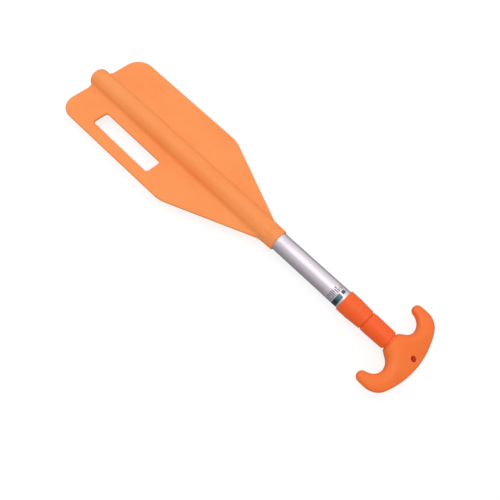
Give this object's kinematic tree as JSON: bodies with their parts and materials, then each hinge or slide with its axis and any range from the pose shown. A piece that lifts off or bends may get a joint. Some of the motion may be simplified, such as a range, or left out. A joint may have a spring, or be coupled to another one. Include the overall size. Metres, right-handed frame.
{
  "type": "telescopic rowing oar",
  "caption": "Stowed telescopic rowing oar: flat moulded orange blade with a tubular rib and hand slot, aluminium shaft, twist lock and T grip with two hooks.",
  "frame": {"origin": "on the shaft's axis, at half the stowed length", "axes": "+X along the shaft from the blade to the grip, +Z out of the blade's front face, the hand slot on the -Y side"},
  "size_m": [0.5705, 0.1434, 0.03],
  "materials": {
    "blade_plastic": "satin, light orange, fine moulded grain",
    "lock_plastic": "satin, red orange",
    "grip_plastic": "satin, orange",
    "tube_alloy": "drawn and clear anodised, fine lines along the tube",
    "rivet_alloy": "plain, as set",
    "label_film": "satin printed film",
    "bearing_plastic": "smooth dark acetal",
    "seal_rubber": "matt",
    "steel": "plain stainless",
    "foam": "closed-cell foam"
  },
  "bodies": {
    "shaft": {"blade": "blade_plastic", "blade_rivets": "rivet_alloy", "outer_tube": "tube_alloy", "label": "label_film", "lock_body": "lock_plastic", "lock_pin": "rivet_alloy", "guide_sleeve": "bearing_plastic"},
    "bush": {"glide_bush": "bearing_plastic"},
    "grip_shaft": {"inner_tube": "tube_alloy", "tube_plug": "bearing_plastic", "plug_pin": "steel", "foot_washer": "steel", "foot_screw": "steel", "float_foam": "foam", "handle": "grip_plastic", "handle_rivet": "rivet_alloy"},
    "clamp": {"collet": "bearing_plastic", "thrust_washer": "steel"},
    "nut": {"lock_nut": "lock_plastic", "wiper_ring": "seal_rubber"}
  },
  "joints": [
    {"name": "extend", "type": "slide", "parent": "shaft", "child": "bush", "axis": [1, 0, 0], "range_m": [0, 0.388]},
    {"name": "grip_turn", "type": "hinge", "parent": "bush", "child": "grip_shaft", "pos_m": [0, 0, 0], "axis": [1, 0, 0], "continuous": true},
    {"name": "lock_travel", "type": "slide", "parent": "shaft", "child": "clamp", "axis": [1, 0, 0], "range_m": [0, 0.0015]},
    {"name": "lock_turn", "type": "hinge", "parent": "clamp", "child": "nut", "pos_m": [0.22675, 0, 0], "axis": [1, 0, 0], "range_deg": [0, 180]}
  ],
  "couplings": [
    {"joint": "lock_turn", "follows": "lock_travel", "rad_per_m": 2094.4}
  ]
}
